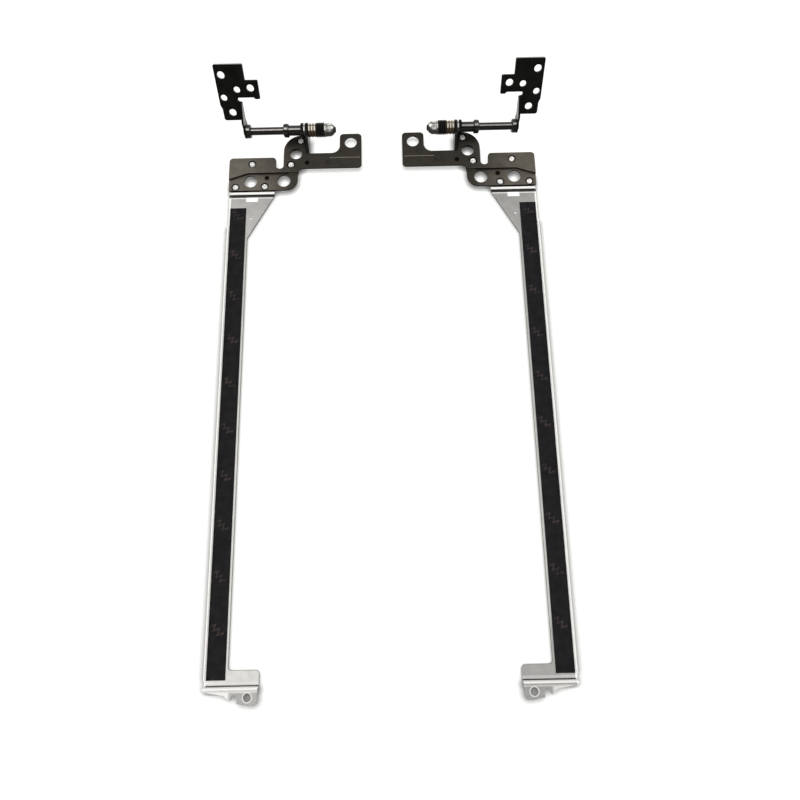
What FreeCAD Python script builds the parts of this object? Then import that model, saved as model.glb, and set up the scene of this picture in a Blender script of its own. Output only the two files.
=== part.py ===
import FreeCAD, Part
import os
from FreeCAD import Vector
import Sketcher

# A mirrored pair of laptop hinges, in millimetres. The left hinge is drawn and the right one is its mirror.
# A sketch's x runs inwards from the outer face of the rail. In the rail and the tape, y runs from the low
# end of the rail's foot. In the pieces at the hinge end, y runs from the rail's top bend. The turned pieces
# and the base bracket have the hinge axis as their origin, and the bracket's y runs up its own slope.
# The placements bring all this to the middle of the pair, with Z = 0 on the table.

doc = FreeCAD.newDocument("hinges")
sheet = doc.addObject("Spreadsheet::Sheet", "Dims")

DIMENSIONS = {
    # the pair: half the distance over the rails, and how far the base brackets stand up from the table
    "half_span": 73.3,
    "open_angle": 59.0,
    # rail: flat strip with a gusset, a side flange, a raised flange under the plate and a raised foot
    "sheet_thick": 0.5,
    "rail_length": 223.5,
    "rail_wide": 9.2,
    "rail_spread": 21.7,
    "gusset_rise": 0.3,
    "gusset_long": 22.2,
    "side_flange_high": 1.7,
    "side_flange_start": 9.0,
    "side_flange_stop": 15.9,
    "flange_root_r": 0.25,
    "bend_inner_r": 0.35,
    "bend_shift": 0.2,
    "top_bend_run": 0.6,
    "top_rise": 1.3,
    "flange_inset": 0.65,
    "flange_reach": 5.15,
    "tongue_margin": 2.2,
    "tongue_reach": 2.4,
    "sheet_gap": 0.3,
    "window_start": 7.9,
    "window_wide": 5.8,
    "window_low": 3.03,
    "window_high": 0.4,
    "gauge_hole_in": 10.6,
    "gauge_hole_down": 11.8,
    "gauge_hole_r": 0.5,
    "flange_hole_extra": 0.6,
    # foot of the rail
    "foot_high": 12.6,
    "foot_inset": 0.15,
    "fold_y": 6.85,
    "fold_run": 0.55,
    "fold_inner_r": 0.35,
    "ridge_rise": 2.1,
    "ridge_low_y": 5.9,
    "foot_dip": 0.15,
    "foot_dip_run": 0.5,
    "foot_hole_in": 4.1,
    "foot_hole_y": 3.0,
    "foot_hole_r": 1.55,
    "foot_slot_x": 12.5,
    "foot_slot_y": 2.9,
    "foot_slot_r": 1.05,
    "foot_low_x": 18.1,
    "foot_low_rise": 0.9,
    "taper_tip_y": 5.3,
    "taper_far_x": 2.6,
    "taper_far_y": 4.8,
    "taper_near_x": 8.5,
    "taper_near_y": 3.8,
    "toe_cut": 0.7,
    "toe_mid_x": 0.2,
    "toe_mid_y": 0.3,
    "prong_x": 10.4,
    "prong_y": 2.05,
    "foot_corner_r": 1.4,
    "prong_corner_r": 0.4,
    "taper_round_r": 2.5,
    "cut_margin": 2.0,
    # adhesive tape
    "tape_inset": 0.8,
    "tape_wide": 7.55,
    "tape_start": 9.1,
    "tape_stop": 6.4,
    "tape_thick": 0.2,
    # hinge plate: lower half on the rail's flange, upper half one joggle higher
    "plate_thick": 0.8,
    "joggle": 0.8,
    "plate_inset": 0.05,
    "plate_long": 63.45,
    "plate_lap": 1.75,
    "low_wide": 8.95,
    "lobe_long": 32.75,
    "lobe_flare": 0.37,
    "lobe_flare_run": 1.6,
    "step_corner": 9.05,
    "step_drop": 3.1,
    "step_overlap": 1.0,
    "step_hollow_r": 0.5,
    "step_crest_r": 0.25,
    "block_long": 22.4,
    "block_wide": 8.2,
    "slot_wide": 3.6,
    "slot_floor": 2.1,
    "tab_wide": 11.1,
    "tab_high": 10.1,
    "arm_step": 2.0,
    "arm_wide": 8.1,
    "end_block_wide": 10.5,
    "end_block_high": 10.45,
    "plate_corner_r": 1.8,
    "slot_corner_r": 1.6,
    "tab_round_r": 8.7,
    "recess_round_r": 4.0,
    "lobe_round_r": 5.6,
    "low_corner_r": 0.3,
    "boss_hole_r": 2.92,
    "low_hole_r": 3.15,
    "low_hole_in": 10.3,
    "low_hole_pitch": 15.86,
    "low_hole_up": 4.88,
    "tab_hole_in": 5.88,
    "tab_hole_down": 0.05,
    "end_hole_in": 5.22,
    "end_hole_down": 4.8,
    "pilot_r": 1.1,
    "pilot_deep": 0.55,
    "low_pilot_in": 18.05,
    "low_pilot_up": 6.55,
    "arm_pilot_in": 0.18,
    "arm_pilot_up": 3.0,
    "dimple_in": 10.4,
    "dimple_up": 2.75,
    "dimple_r": 1.1,
    "mark_deep": 0.15,
    "groove_long": 14.4,
    "groove_end": 0.8,
    "groove_up": 5.4,
    "groove_wide": 0.3,
    # rivets
    "rivet_shank_r": 0.8,
    "rivet_head_r": 1.4,
    "rivet_crown_r": 1.1,
    "rivet_head_high": 0.5,
    "rivet_foot_r": 1.2,
    "rivet_foot_high": 0.4,
    "rivet_sink": 0.3,
    "rivet_sink_r": 1.7,
    "top_rivet_in": 11.01,
    "top_rivet_up": 4.7,
    "outer_rivet_in": 3.16,
    "outer_rivet_up": 1.85,
    "inner_rivet_in": 17.08,
    "inner_rivet_up": 2.0,
    "ear_rivet_in": 8.15,
    "ear_rivet_down": 2.96,
    "neck_rivet_in": 3.59,
    "neck_rivet_up": 2.15,
    # ear bracket under the round tab of the plate
    "ear_thick": 1.1,
    "ear_gap": 0.15,
    "ear_base_thick": 1.2,
    "ear_base_inset": 1.15,
    "ear_base_low": 0.5,
    "ear_base_back": 2.05,
    "ear_top_inset": 0.9,
    "ear_wall_gap": 0.1,
    "ear_round_r": 3.35,
    "ear_slope_back": 3.36,
    "ear_chin": 3.26,
    "ear_tab_round_r": 8.0,
    "ear_corner_r": 1.4,
    "ear_clear_extra": 0.4,
    "running_gap": 0.05,
    # hinge axis, from the recess of the plate and from the plate's top
    "axis_up": 9.26,
    "axis_high": 4.76,
    # shaft
    "core_r": 1.5,
    "tip_long": 0.8,
    "tip_bevel": 0.5,
    "thick_long": 5.7,
    "thick_r": 2.3,
    "collar_long": 2.6,
    "collar_r": 3.1,
    "rod_r": 1.75,
    "head_long": 2.0,
    "edge_bevel": 0.45,
    "peen_r": 2.1,
    "peen_thick": 0.5,
    # washers and nut on the shaft
    "stop_washer_thick": 1.3,
    "stop_washer_r": 3.3,
    "steel_washer_thick": 0.75,
    "steel_washer_r": 3.05,
    "thin_washer_thick": 0.2,
    "thin_washer_r": 3.2,
    "washer_bevel": 0.08,
    "friction_thick": 1.22,
    "friction_pitch": 1.3,
    "friction_count": 3,
    "friction_r": 3.15,
    "friction_bevel": 0.25,
    "spring_thick": 0.91,
    "spring_pitch": 0.98,
    "spring_count": 4,
    "spring_r": 3.35,
    "spring_bevel": 0.3,
    "end_washer_thick": 0.85,
    "end_washer_r": 3.2,
    "nut_long": 3.75,
    "nut_point_r": 3.15,
    "nut_corner_r": 3.0,
    "nut_mid_r": 2.25,
    "nut_mid_run": 0.6,
    "nut_nose_run": 0.45,
    "nut_shoulder_r": 2.7,
    "nut_shoulder_run": 0.8,
    "nut_nose_r": 1.75,
    # base bracket: a plate behind the axis, and an arm bent forward to the shaft
    "bracket_thick": 1.3,
    "bracket_back": 3.0,
    "arm_in": 7.65,
    "arm_thick": 0.95,
    "arm_lean": 0.55,
    "arm_round_r": 3.1,
    "arm_front": 1.2,
    "arm_knee": 2.0,
    "bracket_low": 4.3,
    "arm_root": 7.85,
    "bracket_reach": 9.52,
    "low_corner_cut": 0.76,
    "waist_up": 5.1,
    "waist_slope": 1.85,
    "notch_wide": 2.25,
    "notch_deep": 0.82,
    "notch_slope": 0.6,
    "side_tab_long": 9.65,
    "side_tab_wide": 7.35,
    "top_overhang": 3.9,
    "top_high": 7.05,
    "hook_wide": 2.2,
    "hook_high": 0.8,
    "bracket_corner_r": 0.7,
    "bracket_low_corner_r": 1.1,
    "hook_corner_r": 0.5,
    "screw_hole_r": 1.68,
    "peg_hole_r": 1.48,
    "top_screw_in": 2.95,
    "top_screw_down": 4.54,
    "tab_screw_in": 3.85,
    "tab_screw_up": 4.01,
    "low_screw_in": 4.43,
    "low_screw_up": 3.44,
    "mid_peg_in": 0.49,
    "mid_peg_up": 3.42,
    "side_peg_in": 2.37,
    "side_peg_up": 3.14,
}

# places worked out from the sizes above, as sums of sheet names
LOW_UNDER = "top_rise"
LOW_TOP = "top_rise + sheet_thick"
HIGH_UNDER = LOW_UNDER + " + joggle"
HIGH_TOP = LOW_TOP + " + joggle"
LOW_FACE = LOW_TOP + " + plate_thick"
HIGH_FACE = HIGH_TOP + " + plate_thick"
EAR_UNDER = HIGH_TOP + " - ear_base_thick"

STEP_Y = "plate_lap + low_wide"
STEP_OUTER_Y = STEP_Y + " - step_drop"
STEP_X = "plate_inset + step_corner"
ARM_LOW_Y = STEP_Y + " + arm_step"
RECESS_Y = ARM_LOW_Y + " + arm_wide"
TAB_TOP_Y = RECESS_Y + " + tab_high"
END_TOP_Y = RECESS_Y + " + end_block_high"
SLOT_X = "plate_inset + block_long"
TAB_X = SLOT_X + " + slot_wide"
TAB_END_X = TAB_X + " + tab_wide"
PLATE_END_X = "plate_inset + plate_long"
LOBE_X = "plate_inset + lobe_long"
FLARE_X = LOBE_X + " + lobe_flare"

LOW_HOLE = ("plate_inset + low_hole_in", "plate_lap + low_hole_up")
TAB_HOLE = (TAB_X + " + tab_hole_in", RECESS_Y + " - tab_hole_down")
END_HOLE = (PLATE_END_X + " - end_hole_in", END_TOP_Y + " - end_hole_down")
TOP_RIVET = ("plate_inset + top_rivet_in", STEP_Y + " + top_rivet_up")
OUTER_RIVET = ("plate_inset + outer_rivet_in", "plate_lap + outer_rivet_up")
INNER_RIVET = ("plate_inset + inner_rivet_in", "plate_lap + inner_rivet_up")
EAR_RIVET = (TAB_X + " + ear_rivet_in", TAB_TOP_Y + " - ear_rivet_down")
NECK_RIVET = (TAB_X + " + neck_rivet_in", ARM_LOW_Y + " + neck_rivet_up")

AXIS_Y = RECESS_Y + " + axis_up"
AXIS_Z = HIGH_FACE + " + axis_high"
EAR_X = TAB_END_X + " + ear_gap"
THIN_X = EAR_X + " - running_gap - thin_washer_thick"
STEEL_X = THIN_X + " - steel_washer_thick"
STOP_X = STEEL_X + " - stop_washer_thick"
FRICTION_X = EAR_X + " + ear_thick + running_gap"
SPRING_X = FRICTION_X + " + friction_pitch" * 3
END_WASHER_X = SPRING_X + " + spring_pitch" * 4
NUT_X = END_WASHER_X + " + end_washer_thick"

ARM_TOP_S = "bracket_low + arm_root"
SIDE_TAB_LOW_S = ARM_TOP_S + " + notch_wide"
SIDE_TAB_TOP_S = SIDE_TAB_LOW_S + " + side_tab_wide"
BRACKET_TOP_S = SIDE_TAB_TOP_S + " + top_high"
BRACKET_OUTER_X = "arm_in - bracket_reach"
BRACKET_LOW_X = BRACKET_OUTER_X + " + low_corner_cut"
SIDE_TAB_X = "arm_in + side_tab_long"
WAIST_S = "bracket_low + waist_up"
SHOULDER_S = WAIST_S + " + waist_slope"
EYE_X = "arm_in + arm_lean"


def split(text):
    """Read a sum such as 'rail_wide - sheet_thick' as signed words."""
    terms = []
    sign = 1
    for word in text.split():
        if word in "+-":
            sign = 1 if word == "+" else -1
        else:
            terms.append((sign, word))
            sign = 1
    return terms


def value_of(text):
    """Number that a sum of sheet names stands for."""
    total = 0.0
    for sign, word in split(text):
        total += sign * (DIMENSIONS[word] if word in DIMENSIONS else float(word))
    return total


def expr(text, sign=1):
    """The same sum, or its negative, as an expression on the sheet."""
    out = "0"
    for one, word in split(text):
        out += " + " if one * sign > 0 else " - "
        out += "Dims." + word if word in DIMENSIONS else word
    return out


def bind(thing, path, text):
    thing.setExpression(path, expr(text))


def fill_sheet():
    for row, (name, value) in enumerate(DIMENSIONS.items(), 1):
        sheet.set("A%d" % row, name)
        sheet.set("B%d" % row, str(value))
        sheet.setAlias("B%d" % row, name)
    doc.recompute()


# half of the whole length, from the foot's end to the top of the open base bracket
TILT = "Dims.open_angle * 1 deg"
BRACKET_RUN = "(%s) * cos(%s)" % (expr(BRACKET_TOP_S), TILT)
BRACKET_DEPTH = "(%s) * sin(%s)" % (expr("bracket_back + bracket_thick"), TILT)
HALF_LENGTH = "(%s + %s + %s) / 2" % (expr("rail_length + " + AXIS_Y), BRACKET_RUN, BRACKET_DEPTH)


def place(thing, x="0", y="0", z="0"):
    """Bring a piece from the sheet's places to the middle of the pair."""
    thing.setExpression("Placement.Base.x", "%s - Dims.half_span" % expr(x))
    thing.setExpression("Placement.Base.y", "%s - %s" % (expr(y), HALF_LENGTH))
    bind(thing, "Placement.Base.z", z)


def new_body(label, origin="foot"):
    """Body with its origin at the foot's end, at the rail's top bend or on the hinge axis."""
    body = doc.addObject("PartDesign::Body", "left_" + label)
    body.Label = "left_" + label
    if origin == "foot":
        place(body)
    elif origin == "bend":
        place(body, y="rail_length")
    else:
        place(body, y="rail_length + " + AXIS_Y, z=AXIS_Z)
    return body


def new_sketch(body, plane, level="0"):
    sketch = body.newObject("Sketcher::SketchObject", body.Name + "_sketch")
    for feature in body.Origin.OriginFeatures:
        if feature.Role == plane:
            sketch.AttachmentSupport = (feature, "")
    sketch.MapMode = "FlatFace"
    bind(sketch, "AttachmentOffset.Base.z", level)
    return sketch


def fix_point(sketch, geometry, vertex, x, y):
    """Fix one point of a sketch with two sums of sheet names."""
    for kind, text, axis in (("DistanceX", x, -2), ("DistanceY", y, -1)):
        number = value_of(text)
        if abs(number) < 1e-9:
            sketch.addConstraint(Sketcher.Constraint("PointOnObject", geometry, vertex, axis))
        elif number > 0:
            index = sketch.addConstraint(Sketcher.Constraint(kind, -1, 1, geometry, vertex, number))
            sketch.setExpression("Constraints[%d]" % index, expr(text))
        else:
            index = sketch.addConstraint(Sketcher.Constraint(kind, geometry, vertex, -1, 1, -number))
            sketch.setExpression("Constraints[%d]" % index, expr(text, -1))


def polygon(sketch, points):
    """Closed outline through points given as pairs of sums."""
    spots = [Vector(value_of(x), value_of(y), 0) for x, y in points]
    first = sketch.GeometryCount
    count = len(spots)
    for i in range(count):
        sketch.addGeometry(Part.LineSegment(spots[i], spots[(i + 1) % count]), False)
    for i in range(count):
        sketch.addConstraint(Sketcher.Constraint("Coincident", first + i, 2, first + (i + 1) % count, 1))
    for i, (x, y) in enumerate(points):
        fix_point(sketch, first + i, 1, x, y)


def rectangle(sketch, low_x, high_x, low_y, high_y):
    polygon(sketch, [(low_x, low_y), (high_x, low_y), (high_x, high_y), (low_x, high_y)])


def circle(sketch, spot, radius):
    x, y = spot
    center = Vector(value_of(x), value_of(y), 0)
    index = sketch.addGeometry(Part.Circle(center, Vector(0, 0, 1), value_of(radius)), False)
    fix_point(sketch, index, 3, x, y)
    size = sketch.addConstraint(Sketcher.Constraint("Radius", index, value_of(radius)))
    sketch.setExpression("Constraints[%d]" % size, expr(radius))


def pad(body, sketch, length):
    feature = body.newObject("PartDesign::Pad", body.Name + "_pad")
    feature.Profile = sketch
    bind(feature, "Length", length)
    sketch.Visibility = False
    doc.recompute()


def cut(body, sketch, depth=None):
    """Cut right through, or down to a depth."""
    feature = body.newObject("PartDesign::Pocket", body.Name + "_cut")
    feature.Profile = sketch
    if depth:
        bind(feature, "Length", depth)
    else:
        feature.Type = "ThroughAll"
        feature.SideType = "Symmetric"
    sketch.Visibility = False
    doc.recompute()


def turn(body, sketch, kind="PartDesign::Revolution"):
    """Turn a half section about the shaft's axis, as a solid or as a groove."""
    feature = body.newObject(kind, body.Name + "_turn")
    feature.Profile = sketch
    feature.ReferenceAxis = (sketch, ["H_Axis"])
    feature.Angle = 360
    sketch.Visibility = False
    doc.recompute()


def fillet(body, names, radius):
    base = body.Tip
    feature = body.newObject("PartDesign::Fillet", body.Name + "_round")
    feature.Base = (base, names)
    bind(feature, "Radius", radius)
    doc.recompute()


def edge_ends(body):
    """Name and end points of each straight edge."""
    for number, edge in enumerate(body.Tip.Shape.Edges, 1):
        if edge.Curve.TypeId == "Part::GeomLine":
            yield "Edge%d" % number, edge.Vertexes[0].Point, edge.Vertexes[-1].Point


def round_corners(body, along, corners, radius):
    """Round the edges that run along one axis through corners given by their two other places."""
    others = [i for i in range(3) if i != along]
    wanted = [[value_of(text) for text in corner] for corner in corners]
    names = []
    for name, start, end in edge_ends(body):
        for corner in wanted:
            if all(abs(p[i] - c) < 1e-4 for p in (start, end) for i, c in zip(others, corner)):
                names.append(name)
    fillet(body, names, radius)


def round_path(body, points, level, radius):
    """Round the straight edges that join a row of points on one level."""
    spots = [Vector(value_of(x), value_of(y), value_of(level)) for x, y in points]
    names = []
    for name, start, end in edge_ends(body):
        for a, b in zip(spots, spots[1:]):
            if all(min((p - a).Length, (p - b).Length) < 1e-4 for p in (start, end)):
                names.append(name)
    fillet(body, names, radius)


def rail():
    body = new_body("rail")
    top = "rail_length + "
    fold_top = "fold_y - fold_run"
    dip_low = "ridge_low_y - foot_dip_run"
    foot_under = "ridge_rise - foot_dip"
    bend_end = "rail_length + top_bend_run"
    tongue_bend = top + STEP_Y + " + step_overlap + sheet_gap"
    tongue_end = top + TOP_RIVET[1] + " + tongue_reach"
    side = new_sketch(body, "YZ_Plane")
    polygon(side, [
        ("0", foot_under),
        (dip_low, foot_under),
        ("ridge_low_y", "ridge_rise"),
        (fold_top, "ridge_rise"),
        ("fold_y", "0"),
        ("rail_length", "0"),
        (bend_end, LOW_UNDER),
        (tongue_bend, LOW_UNDER),
        (tongue_bend + " + joggle", HIGH_UNDER),
        (tongue_end, HIGH_UNDER),
        (tongue_end, HIGH_TOP),
        (tongue_bend + " + joggle - bend_shift", HIGH_TOP),
        (tongue_bend + " - bend_shift", LOW_TOP),
        (bend_end + " - bend_shift", LOW_TOP),
        ("rail_length - bend_shift", "sheet_thick"),
        ("fold_y + bend_shift + bend_shift", "sheet_thick"),
        (fold_top + " + bend_shift + bend_shift", "ridge_rise + sheet_thick"),
        ("ridge_low_y - bend_shift", "ridge_rise + sheet_thick"),
        (dip_low + " - bend_shift", foot_under + " + sheet_thick"),
        ("0", foot_under + " + sheet_thick"),
    ])
    pad(body, side, "rail_spread")
    fold_crest = (fold_top + " + bend_shift + bend_shift", "ridge_rise + sheet_thick")
    fold_hollow = ("fold_y + bend_shift + bend_shift", "sheet_thick")
    round_corners(body, 0, [("fold_y", "0"), fold_crest], "fold_inner_r + sheet_thick")
    round_corners(body, 0, [fold_hollow, (fold_top, "ridge_rise")], "fold_inner_r")
    round_corners(body, 0, [("rail_length", "0"), (bend_end + " - bend_shift", LOW_TOP)],
                  "bend_inner_r + sheet_thick")
    round_corners(body, 0, [("rail_length - bend_shift", "sheet_thick"), (bend_end, LOW_UNDER)],
                  "bend_inner_r")
    # space beside the strip, between gusset and foot, and past the foot's inner end
    gusset_top = "rail_length + gusset_rise"
    foot_end = "rail_spread - foot_inset"
    beside = new_sketch(body, "XY_Plane")
    polygon(beside, [
        ("rail_spread + cut_margin", gusset_top),
        ("rail_spread", gusset_top),
        ("rail_wide", "rail_length - gusset_long"),
        ("rail_wide", "foot_high"),
        (foot_end, "foot_high"),
        (foot_end, "0 - cut_margin"),
        ("rail_spread + cut_margin", "0 - cut_margin"),
    ])
    cut(body, beside)
    # the flange under the plate is cut back to a tongue that carries the top rivet
    tongue_base = top + "plate_lap + flange_reach"
    beyond = tongue_end + " + cut_margin"
    tongue_outer = STEP_X + " + bend_shift"
    tongue_inner = INNER_RIVET[0] + " + tongue_margin"
    trim = new_sketch(body, "XY_Plane")
    polygon(trim, [
        ("0 - cut_margin", bend_end),
        ("plate_inset + flange_inset", bend_end),
        ("plate_inset + flange_inset", tongue_base),
        (tongue_outer, tongue_base),
        (tongue_outer, beyond),
        ("0 - cut_margin", beyond),
    ])
    rectangle(trim, tongue_inner, "rail_spread + cut_margin", tongue_base, beyond)
    cut(body, trim)
    window = new_sketch(body, "XY_Plane")
    window_end = "window_start + window_wide"
    rectangle(window, "window_start", window_end, "rail_length - window_low", "rail_length - window_high")
    cut(body, window)
    holes = new_sketch(body, "XY_Plane")
    circle(holes, ("gauge_hole_in", "rail_length - gauge_hole_down"), "gauge_hole_r")
    circle(holes, ("rail_spread - foot_hole_in", "foot_hole_y"), "foot_hole_r")
    circle(holes, ("foot_slot_x", "foot_slot_y"), "foot_slot_r")
    circle(holes, (LOW_HOLE[0], top + LOW_HOLE[1]), "low_hole_r + flange_hole_extra")
    for x, y in (TOP_RIVET, OUTER_RIVET, INNER_RIVET):
        circle(holes, (x, top + y), "rivet_shank_r")
    cut(body, holes)
    # tapered end of the foot and its open slot
    slot_side = "foot_slot_x - foot_slot_r"
    taper = new_sketch(body, "XY_Plane")
    polygon(taper, [
        ("0 - cut_margin", "0 - cut_margin"),
        ("0 - cut_margin", "taper_tip_y + toe_cut"),
        ("0", "taper_tip_y + toe_cut"),
        ("toe_mid_x", "taper_tip_y + toe_mid_y"),
        ("toe_cut", "taper_tip_y"),
        ("taper_far_x", "taper_far_y"),
        ("taper_near_x", "taper_near_y"),
        ("prong_x", "prong_y"),
        (slot_side, "prong_y"),
        (slot_side, "foot_slot_y"),
        ("foot_slot_x + foot_slot_r", "foot_slot_y"),
        ("foot_slot_x + foot_slot_r", "foot_low_rise"),
        ("foot_low_x", "0"),
        ("foot_low_x", "0 - cut_margin"),
    ])
    cut(body, taper)
    flange = new_sketch(body, "XY_Plane")
    rectangle(flange, "0", "sheet_thick", "side_flange_start", "rail_length - side_flange_stop")
    pad(body, flange, "side_flange_high")
    round_corners(body, 1, [("sheet_thick", "sheet_thick")], "flange_root_r")
    round_corners(body, 2, [("taper_near_x", "taper_near_y")], "taper_round_r")
    round_corners(body, 2, [("prong_x", "prong_y"), (slot_side, "prong_y")], "prong_corner_r")
    round_corners(body, 2, [(foot_end, "foot_high"), (foot_end, "0"), ("rail_wide", "foot_high")],
                  "foot_corner_r")
    return body


def adhesive_tape():
    body = new_body("adhesive_tape")
    strip = new_sketch(body, "XY_Plane", "sheet_thick")
    rectangle(strip, "tape_inset", "tape_inset + tape_wide", "tape_start", "rail_length - tape_stop")
    pad(body, strip, "tape_thick")
    return body


def hinge_plate():
    body = new_body("hinge_plate", "bend")
    upper = new_sketch(body, "XY_Plane", HIGH_TOP)
    block_top = STEP_Y + " + block_wide"
    slot_floor = STEP_Y + " + slot_floor"
    end_block = PLATE_END_X + " - end_block_wide"
    polygon(upper, [
        ("plate_inset", STEP_OUTER_Y),
        ("plate_inset", block_top),
        (SLOT_X, block_top),
        (SLOT_X, slot_floor),
        (TAB_X, slot_floor),
        (TAB_X, TAB_TOP_Y),
        (TAB_END_X, TAB_TOP_Y),
        (TAB_END_X, RECESS_Y),
        (end_block, RECESS_Y),
        (end_block, END_TOP_Y),
        (PLATE_END_X, END_TOP_Y),
        (PLATE_END_X, ARM_LOW_Y),
        (FLARE_X, ARM_LOW_Y),
        (FLARE_X, STEP_Y),
        (STEP_X, STEP_Y),
    ])
    pad(body, upper, "plate_thick")
    round_corners(body, 2, [
        ("plate_inset", block_top),
        (SLOT_X, block_top),
        (end_block, END_TOP_Y),
        (PLATE_END_X, END_TOP_Y),
        (PLATE_END_X, ARM_LOW_Y),
        (FLARE_X, ARM_LOW_Y),
    ], "plate_corner_r")
    round_corners(body, 2, [(SLOT_X, slot_floor), (TAB_X, slot_floor)], "slot_corner_r")
    round_corners(body, 2, [(TAB_X, TAB_TOP_Y)], "tab_round_r")
    round_corners(body, 2, [(end_block, RECESS_Y)], "recess_round_r")
    lower = new_sketch(body, "XY_Plane", LOW_TOP)
    polygon(lower, [
        ("plate_inset", "plate_lap"),
        ("plate_inset", STEP_OUTER_Y + " + step_overlap"),
        (STEP_X, STEP_Y + " + step_overlap"),
        (FLARE_X, STEP_Y + " + step_overlap"),
        (FLARE_X, STEP_Y),
        (LOBE_X, STEP_Y + " - lobe_flare_run"),
        (LOBE_X, "plate_lap"),
    ])
    pad(body, lower, "joggle")
    round_corners(body, 2, [(LOBE_X, "plate_lap")], "lobe_round_r")
    round_corners(body, 2, [("plate_inset", "plate_lap")], "low_corner_r")
    step_line = [(FLARE_X, STEP_Y), (STEP_X, STEP_Y), ("plate_inset", STEP_OUTER_Y)]
    round_path(body, step_line, HIGH_TOP, "step_hollow_r")
    round_path(body, step_line, HIGH_FACE, "step_crest_r")
    holes = new_sketch(body, "XY_Plane")
    circle(holes, LOW_HOLE, "low_hole_r")
    circle(holes, (LOW_HOLE[0] + " + low_hole_pitch", LOW_HOLE[1]), "low_hole_r")
    circle(holes, TAB_HOLE, "boss_hole_r")
    circle(holes, END_HOLE, "boss_hole_r")
    for spot in (TOP_RIVET, OUTER_RIVET, INNER_RIVET, EAR_RIVET, NECK_RIVET):
        circle(holes, spot, "rivet_shank_r")
    cut(body, holes)
    # the rivets' heads sit in shallow rings, and the pilot marks are blind
    arm_pilot = (TAB_END_X + " + arm_pilot_in", ARM_LOW_Y + " + arm_pilot_up")
    low_pilot = ("plate_inset + low_pilot_in", "plate_lap + low_pilot_up")
    for face, heads, pilot in (
        (HIGH_FACE, (TOP_RIVET, EAR_RIVET, NECK_RIVET), arm_pilot),
        (LOW_FACE, (OUTER_RIVET, INNER_RIVET), low_pilot),
    ):
        rings = new_sketch(body, "XY_Plane", face)
        for spot in heads:
            circle(rings, spot, "rivet_sink_r")
        cut(body, rings, "rivet_sink")
        blind = new_sketch(body, "XY_Plane", face)
        circle(blind, pilot, "pilot_r")
        cut(body, blind, "pilot_deep")
    marks = new_sketch(body, "XY_Plane", HIGH_FACE)
    circle(marks, (TAB_END_X + " + dimple_in", ARM_LOW_Y + " + dimple_up"), "dimple_r")
    groove_stop = PLATE_END_X + " - groove_end"
    groove_y = ARM_LOW_Y + " + groove_up"
    rectangle(marks, groove_stop + " - groove_long", groove_stop, groove_y, groove_y + " + groove_wide")
    cut(body, marks, "mark_deep")
    return body


def ear_bracket():
    body = new_body("ear_bracket", "bend")
    wall_low = RECESS_Y + " + ear_wall_gap"
    base_top = TAB_TOP_Y + " - ear_top_inset"
    crown = AXIS_Z + " + ear_round_r"
    back = AXIS_Y + " + ear_round_r"
    chin = AXIS_Z + " - ear_chin"
    slope = AXIS_Y + " - ear_slope_back"
    wall = new_sketch(body, "YZ_Plane", EAR_X)
    polygon(wall, [
        (wall_low, EAR_UNDER),
        (wall_low, HIGH_FACE + " + ear_wall_gap"),
        (slope, crown),
        (back, crown),
        (back, chin),
        (base_top, EAR_UNDER),
    ])
    pad(body, wall, "ear_thick")
    round_corners(body, 0, [(back, crown), (slope, crown)], "ear_round_r - running_gap")
    round_corners(body, 0, [(back, chin)], "ear_corner_r")
    inner = EAR_X + " + ear_thick"
    outer = TAB_X + " + ear_base_inset"
    neck = TAB_END_X + " - ear_base_back"
    low = ARM_LOW_Y + " + ear_base_low"
    base = new_sketch(body, "XY_Plane", EAR_UNDER)
    polygon(base, [
        (inner, wall_low),
        (neck, wall_low),
        (neck, low),
        (outer, low),
        (outer, base_top),
        (inner, base_top),
    ])
    pad(body, base, "ear_base_thick")
    round_corners(body, 2, [(outer, base_top)], "ear_tab_round_r")
    round_corners(body, 2, [(neck, low), (outer, low)], "ear_corner_r")
    holes = new_sketch(body, "XY_Plane")
    circle(holes, TAB_HOLE, "boss_hole_r + ear_clear_extra")
    circle(holes, EAR_RIVET, "rivet_shank_r")
    circle(holes, NECK_RIVET, "rivet_shank_r")
    cut(body, holes)
    bearing = new_sketch(body, "YZ_Plane")
    circle(bearing, (AXIS_Y, AXIS_Z), "core_r + running_gap")
    cut(body, bearing)
    return body


def rivet(name, spot, under, face):
    """Rivet with a coned head sunk in the plate and a flat foot below the sheet that it holds."""
    head = doc.addObject("Part::Cone", name + "_head")
    bind(head, "Radius1", "rivet_head_r")
    bind(head, "Radius2", "rivet_crown_r")
    bind(head, "Height", "rivet_head_high")
    shank = doc.addObject("Part::Cylinder", name + "_shank")
    bind(shank, "Radius", "rivet_shank_r")
    seat = face + " - rivet_sink"
    shank.setExpression("Height", "(%s) - (%s)" % (expr(seat), expr(under)))
    foot = doc.addObject("Part::Cylinder", name + "_foot")
    bind(foot, "Radius", "rivet_foot_r")
    bind(foot, "Height", "rivet_foot_high")
    for piece, level in ((head, seat), (shank, under), (foot, under + " - rivet_foot_high")):
        place(piece, spot[0], "rail_length + " + spot[1], level)
    whole = doc.addObject("Part::MultiFuse", name)
    whole.Shapes = [head, shank, foot]
    whole.Refine = True
    return whole


def rivets(label, places):
    group = doc.addObject("Part::Compound", "left_" + label)
    group.Label = "left_" + label
    group.Links = [rivet("%s_%d" % (label, i), *spot) for i, spot in enumerate(places)]
    return group


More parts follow.
